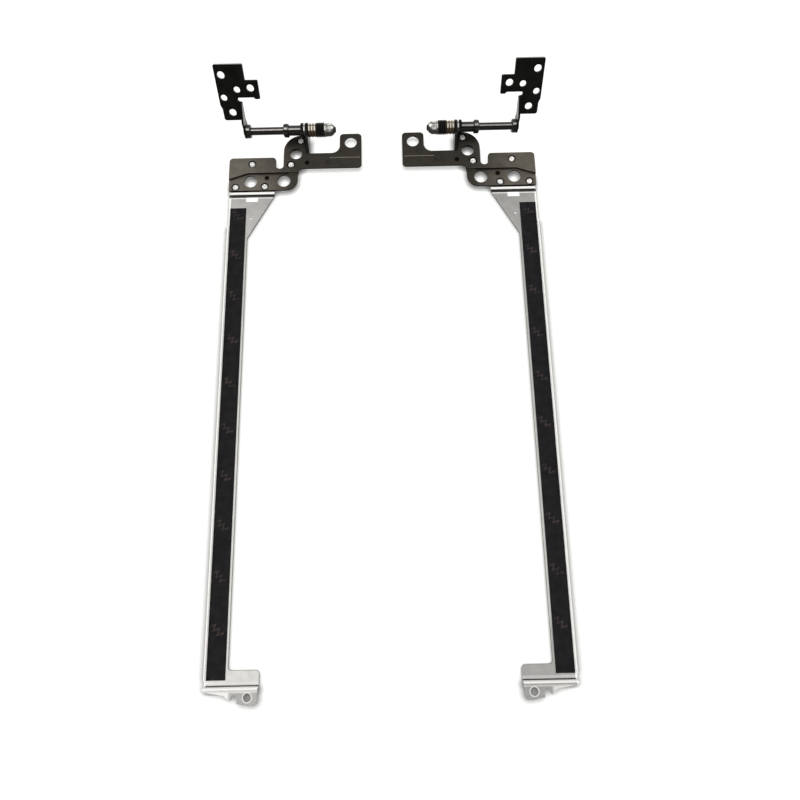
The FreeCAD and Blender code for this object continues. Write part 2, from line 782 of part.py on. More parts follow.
def shaft():
    body = new_body("shaft", "axis")
    head = EYE_X + " + arm_thick"
    rod = head + " + head_long"
    peen = EYE_X + " - peen_thick"
    thick = STOP_X + " - thick_long"
    collar = thick + " - collar_long"
    tip = NUT_X + " + nut_long + tip_long"
    half = new_sketch(body, "XY_Plane")
    polygon(half, [
        (peen, "0"),
        (peen, "peen_r - edge_bevel"),
        (EYE_X, "peen_r"),
        (EYE_X, "core_r"),
        (head, "core_r"),
        (head, "collar_r"),
        (rod + " - edge_bevel", "collar_r"),
        (rod, "collar_r - edge_bevel"),
        (rod, "rod_r"),
        (collar, "rod_r"),
        (collar, "collar_r - edge_bevel"),
        (collar + " + edge_bevel", "collar_r"),
        (thick + " - edge_bevel", "collar_r"),
        (thick, "collar_r - edge_bevel"),
        (thick, "thick_r"),
        (STOP_X, "thick_r"),
        (STOP_X, "core_r"),
        (tip + " - tip_bevel", "core_r"),
        (tip, "core_r - tip_bevel"),
        (tip, "0"),
    ])
    turn(body, half)
    return body


def washer(label, start, size, bevel="washer_bevel"):
    """Disc on the shaft with a bevelled rim."""
    body = new_body(label, "axis")
    stop = start + " + " + size + "_thick"
    rim = size + "_r"
    half = new_sketch(body, "XY_Plane")
    polygon(half, [
        (start, "core_r"),
        (stop, "core_r"),
        (stop, rim + " - " + bevel),
        (stop + " - " + bevel, rim),
        (start + " + " + bevel, rim),
        (start, rim + " - " + bevel),
    ])
    turn(body, half)
    return body


def repeat(body, feature, pitch, count):
    """Row of copies along the shaft."""
    pattern = body.newObject("PartDesign::LinearPattern", body.Name + "_row")
    pattern.Originals = [feature]
    for axis in body.Origin.OriginFeatures:
        if axis.Role == "X_Axis":
            pattern.Direction = (axis, [""])
    pattern.Mode = "Spacing"
    bind(pattern, "Offset", pitch)
    bind(pattern, "Occurrences", count)
    body.Tip = pattern
    doc.recompute()


def washer_stack(label, start, size):
    body = washer(label, start, size, size + "_bevel")
    repeat(body, body.Tip, size + "_pitch", size + "_count")
    return body


def nut():
    """Hexagon nut with a domed end."""
    body = new_body("nut", "axis")
    face = new_sketch(body, "YZ_Plane", NUT_X)
    corners = [Vector(0, value_of("nut_point_r"), 0)]
    for i in range(1, 6):
        corners.append(FreeCAD.Rotation(Vector(0, 0, 1), 60 * i).multVec(corners[0]))
    for i in range(6):
        face.addGeometry(Part.LineSegment(corners[i], corners[(i + 1) % 6]), False)
    ring = face.addGeometry(Part.Circle(Vector(0, 0, 0), Vector(0, 0, 1), value_of("nut_point_r")), True)
    for i in range(6):
        face.addConstraint(Sketcher.Constraint("Coincident", i, 2, (i + 1) % 6, 1))
        face.addConstraint(Sketcher.Constraint("PointOnObject", i, 1, ring))
    for i in range(5):
        face.addConstraint(Sketcher.Constraint("Equal", i, i + 1))
    face.addConstraint(Sketcher.Constraint("Coincident", ring, 3, -1, 1))
    face.addConstraint(Sketcher.Constraint("PointOnObject", 0, 1, -2))
    size = face.addConstraint(Sketcher.Constraint("Radius", ring, value_of("nut_point_r")))
    face.setExpression("Constraints[%d]" % size, expr("nut_point_r"))
    pad(body, face, "nut_long")
    end = NUT_X + " + nut_long"
    middle = end + " - nut_nose_run"
    shoulder = middle + " - nut_mid_run"
    nose = new_sketch(body, "XY_Plane")
    polygon(nose, [
        (end + " + cut_margin", "nut_nose_r"),
        (end, "nut_nose_r"),
        (middle, "nut_mid_r"),
        (shoulder, "nut_shoulder_r"),
        (shoulder + " - nut_shoulder_run", "nut_corner_r"),
        (NUT_X, "nut_corner_r"),
        (NUT_X, "nut_corner_r + cut_margin"),
        (end + " + cut_margin", "nut_corner_r + cut_margin"),
    ])
    turn(body, nose, "PartDesign::Groove")
    bore = new_sketch(body, "YZ_Plane")
    circle(bore, ("0", "0"), "core_r")
    cut(body, bore)
    return body


def base_bracket():
    body = new_body("base_bracket", "axis")
    body.Placement.Rotation = FreeCAD.Rotation(Vector(1, 0, 0), DIMENSIONS["open_angle"])
    bind(body, "Placement.Rotation.Angle", "open_angle")
    sheet_under = "0 - bracket_back - bracket_thick"
    arm_inner = "arm_in + arm_thick"
    eye_inner = EYE_X + " + arm_thick"
    eye_low = "0 - arm_round_r"
    lean_end = "peen_r + running_gap"
    top_inner = "arm_in + top_overhang"
    notch = "arm_in - notch_deep"
    notch_low = ARM_TOP_S + " + notch_slope"
    hook_low = SIDE_TAB_LOW_S + " - hook_high"
    outline = new_sketch(body, "XY_Plane", sheet_under)
    polygon(outline, [
        (arm_inner, "bracket_low"),
        (BRACKET_LOW_X, "bracket_low"),
        (BRACKET_LOW_X, WAIST_S),
        (BRACKET_OUTER_X, SHOULDER_S),
        (BRACKET_OUTER_X, BRACKET_TOP_S),
        (top_inner, BRACKET_TOP_S),
        (top_inner, SIDE_TAB_TOP_S),
        (SIDE_TAB_X, SIDE_TAB_TOP_S),
        (SIDE_TAB_X, hook_low),
        (SIDE_TAB_X + " - hook_wide", hook_low),
        (SIDE_TAB_X + " - hook_wide - hook_high", SIDE_TAB_LOW_S),
        (notch, SIDE_TAB_LOW_S),
        (notch, notch_low),
        (arm_inner, ARM_TOP_S),
    ])
    pad(body, outline, "bracket_thick")
    round_corners(body, 2, [
        (BRACKET_OUTER_X, BRACKET_TOP_S),
        (top_inner, BRACKET_TOP_S),
        (SIDE_TAB_X, SIDE_TAB_TOP_S),
        (notch, SIDE_TAB_LOW_S),
        (notch, notch_low),
    ], "bracket_corner_r")
    round_corners(body, 2, [(BRACKET_LOW_X, "bracket_low")], "bracket_low_corner_r")
    round_corners(body, 2, [(SIDE_TAB_X, hook_low), (SIDE_TAB_X + " - hook_wide", hook_low)], "hook_corner_r")
    # the arm leans inwards on its way down to the eye
    arm = new_sketch(body, "XY_Plane", sheet_under)
    polygon(arm, [
        ("arm_in", ARM_TOP_S),
        ("arm_in", "bracket_low"),
        (EYE_X, lean_end),
        (EYE_X, eye_low),
        (eye_inner, eye_low),
        (eye_inner, lean_end),
        (arm_inner, "bracket_low"),
        (arm_inner, ARM_TOP_S),
    ])
    pad(body, arm, "bracket_thick + bracket_back + arm_round_r")
    slope = new_sketch(body, "YZ_Plane")
    above = "arm_round_r + cut_margin"
    below = sheet_under + " - cut_margin"
    polygon(slope, [
        (ARM_TOP_S, "arm_front - bracket_back"),
        ("arm_knee", "arm_round_r"),
        ("arm_knee", above),
        (ARM_TOP_S + " + cut_margin", above),
        (ARM_TOP_S + " + cut_margin", "arm_front - bracket_back"),
    ])
    polygon(slope, [
        (eye_low, eye_low),
        ("bracket_low", sheet_under),
        ("bracket_low", below),
        (eye_low + " - cut_margin", below),
        (eye_low + " - cut_margin", eye_low),
    ])
    cut(body, slope)
    round_corners(body, 0, [(eye_low, "arm_round_r"), (eye_low, eye_low)], "arm_round_r - running_gap")
    holes = new_sketch(body, "XY_Plane")
    circle(holes, (BRACKET_OUTER_X + " + top_screw_in", BRACKET_TOP_S + " - top_screw_down"), "screw_hole_r")
    circle(holes, (SIDE_TAB_X + " - tab_screw_in", SIDE_TAB_LOW_S + " + tab_screw_up"), "screw_hole_r")
    circle(holes, (BRACKET_LOW_X + " + low_screw_in", "bracket_low + low_screw_up"), "screw_hole_r")
    circle(holes, ("arm_in - mid_peg_in", SIDE_TAB_LOW_S + " + mid_peg_up"), "peg_hole_r")
    circle(holes, (BRACKET_OUTER_X + " + side_peg_in", SHOULDER_S + " + side_peg_up"), "peg_hole_r")
    cut(body, holes)
    seat = new_sketch(body, "YZ_Plane")
    circle(seat, ("0", "0"), "core_r")
    cut(body, seat)
    return body


fill_sheet()

left_parts = [
    rail(),
    adhesive_tape(),
    hinge_plate(),
    rivets("rail_rivets", [
        (TOP_RIVET, HIGH_UNDER, HIGH_FACE),
        (OUTER_RIVET, LOW_UNDER, LOW_FACE),
        (INNER_RIVET, LOW_UNDER, LOW_FACE),
    ]),
    ear_bracket(),
    rivets("ear_rivets", [
        (EAR_RIVET, EAR_UNDER, HIGH_FACE),
        (NECK_RIVET, EAR_UNDER, HIGH_FACE),
    ]),
    shaft(),
    washer("stop_washer", STOP_X, "stop_washer"),
    washer("steel_washer", STEEL_X, "steel_washer"),
    washer("thin_washer", THIN_X, "thin_washer"),
    washer_stack("friction_washers", FRICTION_X, "friction"),
    washer_stack("spring_washers", SPRING_X, "spring"),
    washer("end_washer", END_WASHER_X, "end_washer"),
    nut(),
    base_bracket(),
]

right_parts = []
for part in left_parts:
    twin = doc.addObject("Part::Mirroring", part.Name.replace("left_", "right_"))
    twin.Label = part.Label.replace("left_", "right_")
    twin.Source = part
    twin.Base = Vector(0, 0, 0)
    twin.Normal = Vector(1, 0, 0)
    right_parts.append(twin)
doc.recompute()

for thing in doc.Objects:
    for state in ("Invalid", "Error"):
        if state in thing.State:
            raise RuntimeError("%s is %s" % (thing.Label, state))

parts = left_parts + right_parts
for part in parts:
    if part.Shape.isNull() or not part.Shape.isValid():
        raise RuntimeError("%s has no valid shape" % part.Label)

os.makedirs("parts", exist_ok=True)
for part in parts:
    part.Shape.exportStep("parts/%s.step" % part.Label)
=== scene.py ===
import math

import bpy
from mathutils import Matrix, Vector

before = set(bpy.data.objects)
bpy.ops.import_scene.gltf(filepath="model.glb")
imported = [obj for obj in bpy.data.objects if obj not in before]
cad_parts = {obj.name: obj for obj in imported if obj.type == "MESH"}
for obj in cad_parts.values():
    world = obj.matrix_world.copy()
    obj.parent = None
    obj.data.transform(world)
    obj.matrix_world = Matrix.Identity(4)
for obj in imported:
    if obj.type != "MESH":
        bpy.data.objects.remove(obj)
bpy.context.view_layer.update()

# Materials read metres in the part's own frame: X towards the right hinge, Y along the rails, Z up.
# Places named below are in mm. Those across are distances from the middle of the pair, the same for both hinges.
MM = 0.001
SIDES = ("left", "right")
BRACKET_TILT = math.radians(59.0)
BLACK = (0.0, 0.0, 0.0)


class Nodes:
    """Short calls for the shader nodes used here."""

    def __init__(self, tree):
        self.tree = tree
        tree.nodes.clear()
        self.coords = self.new("TexCoord").outputs

    def new(self, kind):
        return self.tree.nodes.new("ShaderNode" + kind)

    def link(self, output, socket):
        self.tree.links.new(output, socket)

    def feed(self, socket, value):
        """Links an output to the socket, or sets a plain value on it."""
        if isinstance(value, bpy.types.NodeSocket):
            self.link(value, socket)
        else:
            socket.default_value = value

    def math(self, operation, a, b=0.0, c=0.0):
        node = self.new("Math")
        node.operation = operation
        for socket, value in zip(node.inputs, (a, b, c)):
            self.feed(socket, value)
        return node.outputs[0]

    def most(self, first, *others):
        for other in others:
            first = self.math("MAXIMUM", first, other)
        return first

    def product(self, first, *others):
        for other in others:
            first = self.math("MULTIPLY", first, other)
        return first

    def split(self, vector):
        node = self.new("SeparateXYZ")
        self.link(vector, node.inputs[0])
        return node.outputs

    def ramp(self, value, low, high, start, end):
        """Smooth step from start to end as value goes from low to high."""
        node = self.new("MapRange")
        node.interpolation_type = "SMOOTHSTEP"
        names = ("Value", "From Min", "From Max", "To Min", "To Max")
        for name, item in zip(names, (value, low, high, start, end)):
            self.feed(node.inputs[name], item)
        return node.outputs["Result"]

    def stops(self, value, stops):
        """Level for a value from -1 to 1, read between (place, level) stops."""
        ramp = self.new("ValToRGB")
        self.link(self.math("MULTIPLY_ADD", value, 0.5, 0.5), ramp.inputs["Fac"])
        elements = ramp.color_ramp.elements
        while len(elements) < len(stops):
            elements.new(0.5)
        top = max(level for _, level in stops)
        for element, (place, level) in zip(elements, stops):
            element.position = 0.5 + 0.5 * place
            element.color = (level / top, level / top, level / top, 1.0)
        return self.product(ramp.outputs["Color"], top)

    def blend(self, fac, a, b):
        """Number between a and b."""
        node = self.new("Mix")
        for name, value in (("Factor", fac), ("A", a), ("B", b)):
            self.feed(node.inputs[name], value)
        return node.outputs["Result"]

    def mix(self, fac, a, b):
        """Colour between a and b."""
        node = self.new("Mix")
        node.data_type = "RGBA"
        self.feed(node.inputs["Factor"], fac)
        for name, value in (("A", a), ("B", b)):
            socket = [s for s in node.inputs if s.name == name and s.type == "RGBA"][0]
            self.feed(socket, value if isinstance(value, bpy.types.NodeSocket) else (*value, 1.0))
        return [s for s in node.outputs if s.type == "RGBA"][0]

    def seen(self):
        """1 for what is seen straight, mirrored or through glass, and 0 for light that only scatters."""
        path = self.new("LightPath").outputs
        return self.most(path["Is Camera Ray"], path["Is Glossy Ray"], path["Is Transmission Ray"])


class Surface(Nodes):
    """A node material with one Principled shader."""

    def __init__(self, name):
        self.material = bpy.data.materials.new(name)
        self.material.use_nodes = True
        super().__init__(self.material.node_tree)
        out = self.new("OutputMaterial")
        self.shader = self.new("BsdfPrincipled")
        self.link(self.shader.outputs["BSDF"], out.inputs["Surface"])

    def set(self, **values):
        for name, value in values.items():
            self.feed(self.shader.inputs[name.replace("_", " ")], value)

    def noise(self, scale, detail=3.0, stretch=(1.0, 1.0, 1.0)):
        place = self.new("Mapping")
        self.link(self.coords["Object"], place.inputs["Vector"])
        place.inputs["Scale"].default_value = [scale * s for s in stretch]
        node = self.new("TexNoise")
        self.link(place.outputs["Vector"], node.inputs["Vector"])
        node.inputs["Scale"].default_value = 1.0
        node.inputs["Detail"].default_value = detail
        return node.outputs["Fac"]

    def place(self):
        """X, distance across from the middle of the pair, Y and Z."""
        x, y, z = self.split(self.coords["Object"])
        return x, self.math("ABSOLUTE", x), y, z

    def fade(self, place, span, start, end):
        """Smooth step from start to end as a place or a distance goes over a span in mm."""
        return self.ramp(place, span[0] * MM, span[1] * MM, start, end)

    def band(self, place, span, soft):
        """1 where a place lies in a span in mm, 0 outside, with soft ends."""
        low, high = span
        rise = self.fade(place, (low - soft, low + soft), 0.0, 1.0)
        fall = self.fade(place, (high - soft, high + soft), 1.0, 0.0)
        return self.product(rise, fall)

    def gap(self, across, along, point):
        """Distance in plan from a point in mm."""
        dx = self.math("SUBTRACT", across, point[0] * MM)
        dy = self.math("SUBTRACT", along, point[1] * MM)
        return self.math("SQRT", self.math("ADD", self.product(dx, dx), self.product(dy, dy)))

    def facing(self, direction):
        """How far the surface turns away from one direction of the part, 0 on it and 1 across it."""
        node = self.new("VectorMath")
        node.operation = "DOT_PRODUCT"
        self.link(self.coords["Normal"], node.inputs[0])
        node.inputs[1].default_value = direction
        return self.math("SUBTRACT", 1.0, self.math("ABSOLUTE", node.outputs["Value"]))

    def lean(self):
        """The normal as the piece lies at present, split into X, Y and Z."""
        return self.split(self.new("NewGeometry").outputs["Normal"])

    def underside(self, start, end):
        """0 where the surface looks up, 1 where it looks down or sideways, between two heights of its normal."""
        return self.ramp(self.lean()[2], start, end, 1.0, 0.0)

    def off_strip(self, low, high):
        """0 on a strip that looks up and to the front, between two leans of the normal along Y, and 1 elsewhere."""
        lean = self.lean()[1]
        front = self.ramp(lean, low - 0.05, low + 0.05, 1.0, 0.0)
        back = self.ramp(lean, high - 0.15, high + 0.15, 0.0, 0.95)
        return self.most(front, back, self.underside(0.68, 0.84))

    def recess(self, reach, start, end):
        """1 in a corner or hollow and 0 in the open, by the light that is kept off within reach."""
        node = self.new("AmbientOcclusion")
        node.samples = 6
        node.inputs["Distance"].default_value = reach
        return self.ramp(node.outputs["AO"], start, end, 1.0, 0.0)

    def bump(self, height, strength, distance, edge=None):
        """Fine relief, with edges rounded off by the radius edge if it is given."""
        node = self.new("Bump")
        self.feed(node.inputs["Height"], height)
        node.inputs["Strength"].default_value = strength
        node.inputs["Distance"].default_value = distance
        if edge:
            bevel = self.new("Bevel")
            bevel.samples = 6
            bevel.inputs["Radius"].default_value = edge
            self.link(bevel.outputs["Normal"], node.inputs["Normal"])
        self.link(node.outputs["Normal"], self.shader.inputs["Normal"])


# how far a face turns away from the flat of its sheet: rails and plates, base brackets, ear brackets
def flat_sheet(g):
    return g.facing((0.0, 0.0, 1.0))


def tilted_sheet(g):
    plate = g.facing((0.0, -math.sin(BRACKET_TILT), math.cos(BRACKET_TILT)))
    return g.math("MINIMUM", plate, g.facing((1.0, 0.0, 0.0)))


def ear_sheet(g):
    return g.math("MINIMUM", flat_sheet(g), g.facing((1.0, 0.0, 0.0)))


def sheet_metal(name, tones, cut_tone, roughness, grain, streak, edge):
    """Rolled sheet: grain and streaks on its faces, another tone on its cut edges."""
    g = Surface(name)
    fine = g.noise(grain, 4.0)
    broad = g.noise(260.0)
    lines = g.noise(1.0, 2.0, streak)
    tone = g.mix(g.ramp(broad, 0.3, 0.7, 0.0, 1.0), tones[0], tones[1])
    tone = g.mix(g.ramp(lines, 0.35, 0.65, 0.0, 0.35), tone, tones[2])
    cut = g.ramp(flat_sheet(g), 0.35, 0.6, 0.0, 1.0)
    rough = g.ramp(fine, 0.3, 0.7, *roughness)
    g.set(Metallic=1.0, Roughness=g.math("ADD", rough, g.product(cut, 0.12)))
    g.bump(g.math("ADD", fine, g.product(lines, 0.5)), 0.12, 0.00004, edge)
    return g, g.mix(cut, tone, cut_tone)


# bands along a rail: painted shadow beneath the plate's edge, a painted highlight on the lip, painted shade on the
# bend and a painted highlight on its edge by the plate, then painted highlights on the folds of the foot, and its toe
LIP_SHADE = (88.8, 89.6)
LIP = (87.75, 88.75)
BEND = (86.7, 87.7)
BEND_EDGE = (86.15, 86.6)
FOLD_EDGE = (-128.7, -127.6)
CREST = (-130.1, -129.1)
CREST_EDGE = (-131.3, -130.55)
TOE = (-131.4, -130.6)
HIGHLIGHT_BANDS = ((LIP, 0.9), (BEND_EDGE, 0.8), (FOLD_EDGE, 0.4), (CREST, 0.9), (CREST_EDGE, 0.35))
# across a rail: where its side flange starts, which gets a painted highlight, and where its toe turns from speckled
# grey to a painted white highlight
FLANGE = (72.4, 72.5)
TOE_OUTER = (62.2, 63.8)
# foot hole, its ring of painted highlight, and the length over which the right foot is darkened by painted shade
FOOT_HOLE = (55.7, -133.04)
FOOT_HIGHLIGHT_RING = (1.95, 2.05)
RIGHT_FOOT_SHADE = (-112.0, -105.0)


def rail_zinc():
    """Zinc plated rail: dark sheared edges, partly painted shade; painted highlights in white on its flange, lip,
    folds, toe and the ring round its foot hole; painted shade on its bend, beneath the plate's edge and on the right
    foot.
    """
    # its dark cut edges are partly their own tone and partly painted shade along them
    g, tone = sheet_metal("rail_zinc", ((0.7, 0.69, 0.67), (0.8, 0.788, 0.768), (0.75, 0.738, 0.718)),
                          (0.08, 0.078, 0.074), (0.3, 0.4), 5200.0, (5000.0, 160.0, 5000.0), 0.0002)
    x, across, y, _ = g.place()
    toe = g.fade(y, TOE, 1.0, 0.0)
    outer = g.fade(across, TOE_OUTER, 0.0, 1.0)
    speckle = g.ramp(g.noise(2400.0), 0.35, 0.65, 0.28, 0.45)
    grey = g.product(toe, speckle, g.math("SUBTRACT", 1.0, outer))
    # painted shade: the right foot darker than the left
    right_foot_shade = g.product(g.math("GREATER_THAN", x, 0.0), g.fade(y, RIGHT_FOOT_SHADE, 0.3, 0.0))
    tone = g.mix(g.most(grey, right_foot_shade), tone, BLACK)
    # painted highlights in white: the flange, the outer toe, the bands along the rail and the ring round the foot
    # hole
    white = g.most(g.fade(across, FLANGE, 0.0, 1.0), g.product(toe, outer, 0.6))
    for span, amount in HIGHLIGHT_BANDS:
        white = g.most(white, g.product(g.band(y, span, 0.06), amount))
    white = g.most(white, g.fade(g.gap(across, y, FOOT_HOLE), FOOT_HIGHLIGHT_RING, 0.6, 0.0))
    upright = g.ramp(flat_sheet(g), 0.3, 0.6, 0.0, 1.0)
    tone = g.mix(white, tone, g.mix(upright, (0.8, 0.792, 0.776), (0.95, 0.94, 0.92)))
    # painted shade: the ramp of the bend and a painted shadow beneath the plate's edge
    dark = g.most(g.band(y, BEND, 0.08), g.band(y, LIP_SHADE, 0.08))
    g.set(Base_Color=g.mix(g.product(dark, 0.9), tone, (0.02, 0.02, 0.019)),
          Metallic=g.ramp(white, 0.0, 1.0, 1.0, 0.05))
    return g.material


# painted shade on a hinge plate, in its pilot holes and in rings round its rivets: across, along, reach
PILOTS = ((35.97, 103.16, 1.12), (55.2, 95.76, 1.12))
RIVET_RINGS = ((62.24, 102.86, 1.9), (70.09, 91.06, 1.9), (56.17, 91.21, 1.9), (39.1, 115.4, 1.8),
               (43.66, 102.31, 1.9))
# scribed line, across and along
SCRIBE = ((10.6, 25.0), (105.56, 105.86))
# step of a hinge plate: its painted shade along Y, its inner end across, the corner where it starts to slant, and its
# slant
STEP_SHADE = (97.61, 98.26)
STEP_END = (44.0, 45.0)
STEP_CORNER = 64.2
STEP_SLANT = 0.3425
# painted light across a plate, from its darker inner end to its lighter outer one, and its lower corner, painted
# paler, across and along
PAINTED_LIGHT_ACROSS = (38.0, 72.0)
PAINTED_LIGHT_CORNER = ((44.0, 54.0), (92.0, 98.0))


def plate_nickel():
    """Dark nickel plate: painted shade in its hollows, pilot holes, rings round its rivets and along its step,
    painted light across it and on its lower corner, and a pale scribed line near its inner end.
    """
    # its near-black cut edges are painted shade on the walls of its holes and its step
    g, tone = sheet_metal("plate_dark_nickel", ((0.22, 0.2, 0.168), (0.28, 0.256, 0.216), (0.25, 0.228, 0.192)),
                          (0.01, 0.009, 0.008), (0.34, 0.44), 4200.0, (220.0, 3600.0, 3600.0), 0.00007)
    _, across, y, _ = g.place()
    # painted light: lighter towards the plate's outer end and on its lower corner
    low = g.product(g.fade(y, PAINTED_LIGHT_CORNER[1], 0.2, 0.0), g.fade(across, PAINTED_LIGHT_CORNER[0], 0.0, 1.0))
    tone = g.mix(g.math("ADD", g.fade(across, PAINTED_LIGHT_ACROSS, 0.36, 1.1), low), BLACK, tone)
    # painted shade: hollows found by ambient occlusion, the pilot holes, rings round the rivets and the step
    hollow = g.product(g.recess(1.4 * MM, 0.7, 0.96), 0.9)
    for *point, reach in PILOTS + RIVET_RINGS:
        hollow = g.most(hollow, g.fade(g.gap(across, y, point), (reach, reach + 0.1), 0.9, 0.0))
    past = g.most(g.math("SUBTRACT", across, STEP_CORNER * MM), 0.0)
    line = g.math("ADD", y, g.product(past, STEP_SLANT))
    hollow = g.most(hollow, g.product(g.band(line, STEP_SHADE, 0.12), g.fade(across, STEP_END, 0.0, 0.9)))
    tone = g.mix(hollow, tone, (0.008, 0.007, 0.0065))
    scribe = g.product(g.band(across, SCRIBE[0], 0.05), g.band(y, SCRIBE[1], 0.05))
    g.set(Base_Color=g.mix(scribe, tone, (0.62, 0.59, 0.54)))
    return g.material


def turned(name, tones, roughness, metallic=1.0, specular=0.5, under=None, under_from=(0.66, 0.84), strip=None,
           tip=None):
    """Turned metal: fine rings round the shaft's axis and a slight stain.

    under is the tone of a painted shade on its lower half, which hardly mirrors the floor, or on all but a strip
    along its front where strip is given, which stays bright as a painted highlight. tip, if given, is the distance
    across at which its black end stops.
    """
    g = Surface(name)
    stain = g.noise(600.0)
    ring = g.noise(1.0, 2.0, (9000.0, 60.0, 60.0))
    tone = g.mix(g.ramp(stain, 0.35, 0.65, 0.0, 1.0), *tones)
    # painted shade: the under tone on the lower half, or everywhere off the front strip, which stays bright as a
    # painted highlight
    if under:
        low = g.off_strip(*strip) if strip else g.underside(*under_from)
        tone = g.mix(low, tone, under)
        metallic = g.ramp(low, 0.0, 1.0, metallic, 0.3)
        specular = g.ramp(low, 0.0, 1.0, specular, 0.15)
    if tip:
        tone = g.mix(g.fade(g.place()[1], (tip, tip + 0.2), 1.0, 0.0), tone, (0.01, 0.01, 0.009))
    g.set(Base_Color=tone, Metallic=metallic, Specular_IOR_Level=specular,
          Roughness=g.ramp(g.math("ADD", stain, ring), 0.7, 1.3, *roughness))
    g.bump(ring, 0.12, 0.00002, 0.00012)
    return g.material


def rivet_metal():
    """Peened rivet heads: bright and matt, with the marks of the punch."""
    g = Surface("rivet_steel")
    marks = g.noise(1900.0)
    tone = g.mix(g.ramp(marks, 0.38, 0.6, 0.0, 1.0), (0.34, 0.335, 0.32), (0.95, 0.94, 0.92))
    g.set(Base_Color=tone, Metallic=0.1, Roughness=g.ramp(marks, 0.3, 0.7, 0.25, 0.4))
    g.bump(marks, 0.6, 0.0002, 0.0002)
    return g.material


def black_finish(name, sheet, face_gloss, upright_gloss, wear_and_sheen_from, wear_and_sheen_tone):
    """Black coated sheet with a fine skin.

    Upright faces are glossier, sheared edges less glossy, and those above the height wear_and_sheen_from grey and
    glossier: partly rubbed bare metal, partly a painted highlight.
    """
    g = Surface(name)
    skin = g.noise(2600.0)
    cloud = g.noise(220.0)
    tone = g.mix(g.ramp(cloud, 0.3, 0.7, 0.0, 1.0), (0.0035, 0.0035, 0.0032), (0.0065, 0.0065, 0.006))
    cut = g.ramp(sheet(g), 0.35, 0.6, 0.0, 1.0)
    # edges above that height: grey and glossier, partly rubbed bare metal and partly a painted highlight
    top = g.product(cut, g.fade(g.place()[3], (wear_and_sheen_from, wear_and_sheen_from + 0.2), 0.0, 1.0))
    upright = g.ramp(g.facing((1.0, 0.0, 0.0)), 0.1, 0.3, upright_gloss, 0.0)
    gloss = g.math("ADD", g.ramp(cut, 0.0, 1.0, face_gloss, 0.05), g.math("ADD", upright, g.product(top, 0.6)))
    g.set(Base_Color=g.mix(top, tone, wear_and_sheen_tone), Specular_IOR_Level=gloss,
          Roughness=g.math("ADD", g.ramp(skin, 0.3, 0.7, 0.18, 0.27), g.product(cut, 0.25)))
    g.bump(skin, 0.15, 0.00002)
    return g.material


# tape: its edges across, and the step, width, height and patch of its strokes
TAPE_INNER = 64.95
TAPE_OUTER = 72.5
MARK_STEP = 20.6
MARK_WIDE = 1.15
MARK_HIGH = 2.3
MARK_PATCH = (0.3, 6.2)


def tape_film():
    """Black adhesive film: matt, finely textured, with faint slanted zigzag strokes at even steps."""
    g = Surface("tape_film")
    weave = g.noise(3400.0)
    cloud = g.noise(300.0)
    tone = g.mix(g.ramp(cloud, 0.3, 0.7, 0.0, 1.0), (0.0075, 0.0072, 0.0082), (0.012, 0.0115, 0.0124))
    x, _, y, _ = g.place()
    step = g.math("FRACT", g.math("SUBTRACT", g.product(y, 1.0 / (MARK_STEP * MM)), 0.3))
    up = g.product(g.math("SUBTRACT", step, 0.5), MARK_STEP * MM)
    right_strip = g.product(g.math("GREATER_THAN", x, 0.0), (TAPE_OUTER + TAPE_INNER) * MM)
    inward = g.math("SUBTRACT", g.math("ADD", x, TAPE_OUTER * MM), right_strip)
    run = g.product(g.math("SUBTRACT", inward, up), math.sqrt(0.5))
    rise = g.product(g.math("ADD", inward, up), math.sqrt(0.5))
    zigzag = g.product(g.math("PINGPONG", run, MARK_WIDE * MM), MARK_HIGH / MARK_WIDE)
    off = g.math("ABSOLUTE", g.math("SUBTRACT", rise, g.math("ADD", zigzag, 0.4 * MM)))
    strokes = g.product(g.band(run, MARK_PATCH, 0.1), g.fade(off, (0.3, 0.55), 1.0, 0.0),
                        g.ramp(cloud, 0.3, 0.6, 0.35, 0.85))
    g.set(Base_Color=g.mix(strokes, tone, (0.055, 0.042, 0.039)), Specular_IOR_Level=0.08,
          Roughness=g.ramp(weave, 0.3, 0.7, 0.55, 0.75))
    g.bump(weave, 0.3, 0.00004, 0.00008)
    return g.material


rivet_steel = rivet_metal()
# each under tone below is painted shade; the shaft's strip is left as a painted highlight
bright_steel = turned("bright_nickel", ((0.8, 0.785, 0.75), (0.95, 0.935, 0.9)), (0.16, 0.26),
                      under=(0.07, 0.066, 0.06))
oxide = turned("black_oxide", ((0.0025, 0.0025, 0.0024), (0.005, 0.0049, 0.0046)), (0.24, 0.34), 0.0, 0.15)
FINISHES = {
    "rail": rail_zinc(),
    "adhesive_tape": tape_film(),
    "hinge_plate": plate_nickel(),
    "rail_rivets": rivet_steel,
    "ear_bracket": black_finish("ear_black", ear_sheet, 0.15, 0.0, 9.2, (0.1, 0.09, 0.075)),
    "ear_rivets": rivet_steel,
    "shaft": turned("shaft_black_nickel", ((0.58, 0.557, 0.522), (0.74, 0.711, 0.67)), (0.1, 0.17),
                    under=(0.012, 0.0115, 0.011), strip=(-0.47, -0.22), tip=22.7),
    "stop_washer": oxide,
    "steel_washer": bright_steel,
    "thin_washer": bright_steel,
    "friction_washers": turned("brass_washer", ((0.85, 0.78, 0.63), (0.95, 0.9, 0.77)), (0.16, 0.28),
                               under=(0.06, 0.038, 0.022)),
    "spring_washers": oxide,
    "end_washer": bright_steel,
    "nut": turned("nut_nickel", ((0.25, 0.24, 0.22), (0.92, 0.9, 0.86)), (0.14, 0.24),
                  under=(0.04, 0.037, 0.033), under_from=(0.58, 0.8)),
    "base_bracket": black_finish("bracket_black", tilted_sheet, 0.03, 0.35, 30.1, (0.24, 0.235, 0.225)),
}
for side in SIDES:
    for node, finish in FINISHES.items():
        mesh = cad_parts["%s_%s" % (side, node)].data
        mesh.materials.clear()
        mesh.materials.append(finish)


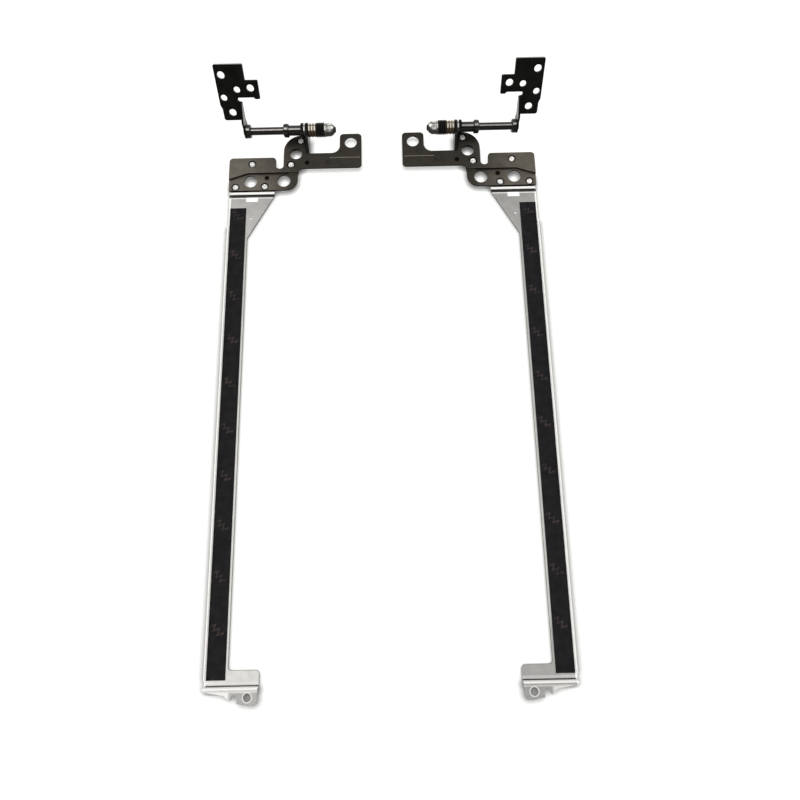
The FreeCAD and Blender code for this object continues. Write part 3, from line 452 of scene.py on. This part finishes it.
FLOOR_HALF = 12.0
FLOOR_DROP = 0.05 * MM
FLOOR_TONE = (0.12, 0.12, 0.118, 1.0)
FLOOR_WHITE = (1.0, 1.0, 0.98, 1.0)
# the object's painted shadow on the floor: its reach by the feet and elsewhere, where that changes along Y, and its
# direction
SHADE_REACH = (3.45 * MM, 3.0 * MM)
SHADE_CHANGE = (-118.0, -104.0)
SHADE_FROM = (0.0, 0.5, 0.866)
# openings of the rails where the floor is painted bright, free of the painted shadow: window across and along, gauge
# hole and its reach
WINDOW = ((59.6, 65.4), (84.43, 87.06))
GAUGE_HOLE = (62.7, 75.66)
GAUGE_REACH = (0.5, 0.7)
# reach of the painted deep shade beneath the foot holes, and what it leaves of the white
HOLE_SHADE = (2.2, 2.6)
HOLE_WHITE = 0.5


def floor():
    """Pale floor. White is added where it is seen or mirrored, and fades in a painted shadow where the object is
    near.

    The painted shadow leans to the near side, as by light from behind, and reaches further beneath the raised feet.
    The rails' window and gauge hole are painted bright, and a deeper painted shade lies beneath the foot holes.
    """
    corners = [(x * FLOOR_HALF, y * FLOOR_HALF, -FLOOR_DROP) for x, y in ((-1, -1), (1, -1), (1, 1), (-1, 1))]
    mesh = bpy.data.meshes.new("floor")
    mesh.from_pydata(corners, [], [(0, 1, 2, 3)])
    plane = bpy.data.objects.new("floor", mesh)
    bpy.context.scene.collection.objects.link(plane)
    g = Surface("pale_floor")
    _, across, y, _ = g.place()
    shade = g.new("AmbientOcclusion")
    shade.samples = 8
    g.link(g.fade(y, SHADE_CHANGE, *SHADE_REACH), shade.inputs["Distance"])
    lean = g.new("CombineXYZ")
    for socket, value in zip(lean.inputs, SHADE_FROM):
        socket.default_value = value
    g.link(lean.outputs[0], shade.inputs["Normal"])
    window = g.product(g.band(across, WINDOW[0], 0.05), g.band(y, WINDOW[1], 0.05))
    gauge = g.fade(g.gap(across, y, GAUGE_HOLE), GAUGE_REACH, 1.0, 0.0)
    # painted shadow from ambient occlusion, lifted back to white in the painted bright openings
    painted_light_level = g.most(g.math("POWER", shade.outputs["AO"], 3.0), window, gauge)
    # painted deeper shade beneath the foot hole
    hole = g.fade(g.gap(across, y, FOOT_HOLE), HOLE_SHADE, HOLE_WHITE, 1.0)
    g.set(Base_Color=FLOOR_TONE, Roughness=0.9, Specular_IOR_Level=0.0, Emission_Color=FLOOR_WHITE,
          Emission_Strength=g.product(g.seen(), painted_light_level, hole))
    mesh.materials.append(g.material)


ROOM_TONE = (1.0, 0.992, 0.975, 1.0)
# how bright the room is from in front of the part (-1) to behind it (1): one wide soft box overhead
DEPTH_LIGHT = ((-1.0, 0.03), (-0.82, 0.05), (-0.74, 0.4), (-0.65, 0.75), (-0.3, 0.8), (0.1, 0.8), (0.3, 0.78),
               (0.45, 0.7), (0.51, 0.55), (0.57, 0.3), (0.65, 0.13), (0.8, 0.08), (1.0, 0.06))
# what that is multiplied by from the left side (-1) to the right one (1)
SIDE_LIGHT = ((-1.0, 3.0), (-0.7, 2.5), (-0.4, 1.3), (-0.22, 1.25), (-0.1, 0.95), (0.0, 0.75), (0.1, 0.7),
              (0.22, 0.8), (0.4, 1.0), (0.7, 2.4), (1.0, 3.0))
# white backdrop all round the room: the heights of view between which it gives way to the room, and its level
BACKDROP_TOP = (0.34, 0.5)
BACKDROP_WHITE = 1.03


def room():
    """Soft room, brightest overhead and towards its two sides, with a white backdrop where it is seen or mirrored."""
    world = bpy.data.worlds.new("studio")
    bpy.context.scene.world = world
    world.use_nodes = True
    n = Nodes(world.node_tree)
    out = n.new("OutputWorld")
    back = n.new("Background")
    n.link(back.outputs[0], out.inputs["Surface"])
    x, y, z = n.split(n.coords["Generated"])
    level = n.product(n.stops(y, DEPTH_LIGHT), n.stops(x, SIDE_LIGHT))
    backdrop = n.product(n.seen(), n.ramp(z, *BACKDROP_TOP, 1.0, 0.0))
    n.feed(back.inputs["Strength"], n.blend(backdrop, level, BACKDROP_WHITE))
    back.inputs["Color"].default_value = ROOM_TONE


def lamp(name, at, aim, size, power):
    """Large soft lamp that lights without a mirror image of itself."""
    data = bpy.data.lights.new(name, "AREA")
    data.shape = "RECTANGLE"
    data.size, data.size_y = size
    data.energy = power
    item = bpy.data.objects.new(name, data)
    item.location = at
    item.rotation_euler = (Vector(aim) - Vector(at)).to_track_quat("-Z", "Y").to_euler()
    item.visible_glossy = False
    bpy.context.scene.collection.objects.link(item)


floor()
room()
lamp("soft_box", (0.0, 0.2, 1.0), (0.0, 0.0, 0.0), (1.0, 0.8), 4.0)

# camera of the photograph: place in m, and focal length in pixels of its frame
CAMERA_AT = (0.0061, -0.08384, 0.2668)
CAMERA_TILT = math.radians(14.54)
CAMERA_ROLL = math.radians(-1.26)
FOCAL_PIXELS = 629.0
FRAME_PIXELS = 800.0
SENSOR = 36.0
camera_data = bpy.data.cameras.new("camera")
camera_data.sensor_width = SENSOR
camera_data.lens = FOCAL_PIXELS / FRAME_PIXELS * SENSOR
camera_data.clip_start = 0.01
camera = bpy.data.objects.new("camera", camera_data)
camera.matrix_world = (Matrix.Translation(CAMERA_AT) @ Matrix.Rotation(CAMERA_TILT, 4, "X")
                       @ Matrix.Rotation(CAMERA_ROLL, 4, "Z"))
bpy.context.scene.collection.objects.link(camera)
bpy.context.scene.camera = camera
bpy.context.scene.view_settings.view_transform = "Standard"
